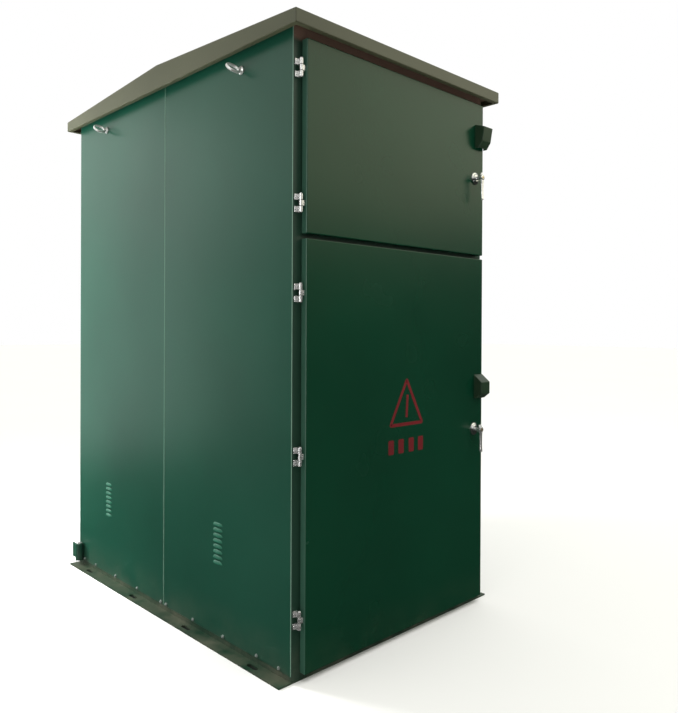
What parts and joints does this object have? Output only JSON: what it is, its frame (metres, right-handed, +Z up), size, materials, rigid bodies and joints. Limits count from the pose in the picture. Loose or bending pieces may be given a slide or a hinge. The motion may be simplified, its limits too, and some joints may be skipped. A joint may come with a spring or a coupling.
{
  "type": "pad-mounted transformer",
  "caption": "Tall steel outdoor transformer housing with a gable roof, stacked front doors, a rear door, side louvres, foot flanges, tank, bushings, breakers and meter inside.",
  "frame": {"origin": "centre of the footprint on the ground", "axes": "+Z up, the front doors face -Y, the rear door faces +Y"},
  "size_m": [1.172, 1.7455, 2.2],
  "materials": {
    "side_paint": "semi-gloss powder coat with a fine orange-peel texture",
    "door_paint": "smoother gloss powder coat",
    "roof_paint": "weathered semi-gloss powder coat",
    "soffit_paint": "dark matt primer",
    "stainless": "brushed stainless steel",
    "zinc": "bright zinc plate",
    "galvanised_sheet": "galvanised sheet",
    "rubber": "matt black rubber",
    "tank_paint": "grey tank enamel",
    "core_steel": "varnished electrical steel",
    "copper": "bare copper",
    "epoxy_brown": "glossy cast epoxy",
    "red_plastic": "moulded red plastic",
    "black_plastic": "moulded black plastic",
    "light_plastic": "moulded light grey plastic"
  },
  "bodies": {
    "root": {"base_frame": "side_paint", "corner_posts": "side_paint", "frame_rails": "side_paint", "side_panel_left_front": "side_paint", "side_panel_left_rear": "side_paint", "side_panel_right_front": "side_paint", "side_panel_right_rear": "side_paint", "panel_bolts": "zinc", "roof_shell": "roof_paint", "roof_soffit": "soffit_paint", "lifting_eyes": "zinc", "rear_corner_socket": "side_paint", "hinge_frame_leaves": "stainless", "hinge_pins": "stainless", "barrier_wall": "galvanised_sheet", "room_shelf": "galvanised_sheet", "floor_plate": "galvanised_sheet", "cable_grommets": "rubber", "tank": "tank_paint", "tank_lid": "tank_paint", "tank_skids": "tank_paint", "cooling_fins": "tank_paint", "core": "core_steel", "coils": "copper", "tank_bushings": "epoxy_brown", "hv_elbows": "rubber", "fuse_holders": "epoxy_brown", "tank_fittings": "zinc", "lv_bars": "copper", "equipment_plate": "galvanised_sheet", "main_breaker": "black_plastic", "feeder_breakers": "black_plastic", "meter": "light_plastic"},
    "upper_door": {"upper_door_skin": "door_paint", "upper_door_stiffeners": "side_paint", "upper_door_seal": "rubber", "upper_door_hinge_leaves": "stainless", "upper_escutcheon": "stainless", "upper_padlock_hood": "door_paint"},
    "lower_door": {"lower_door_skin": "door_paint", "lower_door_stiffeners": "side_paint", "lower_door_seal": "rubber", "lower_door_hinge_leaves": "stainless", "lower_escutcheon": "stainless", "lower_padlock_hood": "door_paint"},
    "rear_door": {"rear_door_skin": "door_paint", "rear_door_stiffeners": "side_paint", "rear_door_seal": "rubber", "rear_door_hinge_leaves": "stainless", "rear_escutcheon": "stainless"},
    "upper_handle": {"upper_handle": "stainless"},
    "lower_handle": {"lower_handle": "stainless"},
    "rear_handle": {"rear_handle": "stainless"},
    "lower_rod_up": {"lower_rod_up": "zinc"},
    "lower_rod_down": {"lower_rod_down": "zinc"},
    "load_switch_handle": {"load_switch_handle": "red_plastic"},
    "tap_changer_knob": {"tap_changer_knob": "black_plastic"},
    "main_breaker_toggle": {"main_breaker_toggle": "light_plastic"},
    "feeder_toggle_left": {"feeder_toggle_left": "light_plastic"},
    "feeder_toggle_right": {"feeder_toggle_right": "light_plastic"}
  },
  "joints": [
    {"name": "upper_door_hinge", "type": "hinge", "parent": "root", "child": "upper_door", "pos_m": [-0.5, -0.816, 1.773], "axis": [0, 0, -1], "range_deg": [0, 120]},
    {"name": "lower_door_hinge", "type": "hinge", "parent": "root", "child": "lower_door", "pos_m": [-0.5, -0.816, 0.735], "axis": [0, 0, -1], "range_deg": [0, 120]},
    {"name": "rear_door_hinge", "type": "hinge", "parent": "root", "child": "rear_door", "pos_m": [0.5, 0.816, 1.058], "axis": [0, 0, -1], "range_deg": [0, 120]},
    {"name": "upper_handle_turn", "type": "hinge", "parent": "upper_door", "child": "upper_handle", "pos_m": [0.44, -0.8, 1.773], "axis": [0, -1, 0], "range_deg": [0, 90]},
    {"name": "lower_handle_turn", "type": "hinge", "parent": "lower_door", "child": "lower_handle", "pos_m": [0.44, -0.8, 0.735], "axis": [0, -1, 0], "range_deg": [0, 90]},
    {"name": "rear_handle_turn", "type": "hinge", "parent": "rear_door", "child": "rear_handle", "pos_m": [-0.44, 0.8, 1.058], "axis": [0, 1, 0], "range_deg": [0, 90]},
    {"name": "lower_rod_up_slide", "type": "slide", "parent": "lower_door", "child": "lower_rod_up", "axis": [0, 0, 1], "range_m": [0, 0.012]},
    {"name": "lower_rod_down_slide", "type": "slide", "parent": "lower_door", "child": "lower_rod_down", "axis": [0, 0, -1], "range_m": [0, 0.012]},
    {"name": "load_switch_turn", "type": "hinge", "parent": "root", "child": "load_switch_handle", "pos_m": [0.3, -0.34, 0.64], "axis": [0, -1, 0], "range_deg": [0, 90]},
    {"name": "tap_changer_turn", "type": "hinge", "parent": "root", "child": "tap_changer_knob", "pos_m": [0.3, -0.34, 0.44], "axis": [0, -1, 0], "range_deg": [-60, 60]},
    {"name": "main_breaker_throw", "type": "hinge", "parent": "root", "child": "main_breaker_toggle", "pos_m": [-0.18, -0.484, 1.778], "axis": [1, 0, 0], "range_deg": [-25, 25]},
    {"name": "feeder_throw_left", "type": "hinge", "parent": "root", "child": "feeder_toggle_left", "pos_m": [0.07, -0.414, 1.773], "axis": [1, 0, 0], "range_deg": [-25, 25]},
    {"name": "feeder_throw_right", "type": "hinge", "parent": "root", "child": "feeder_toggle_right", "pos_m": [0.19, -0.414, 1.773], "axis": [1, 0, 0], "range_deg": [-25, 25]}
  ],
  "couplings": [
    {"joint": "lower_rod_up_slide", "follows": "lower_handle_turn", "m_per_rad": 0.007639},
    {"joint": "lower_rod_down_slide", "follows": "lower_handle_turn", "m_per_rad": 0.007639}
  ]
}
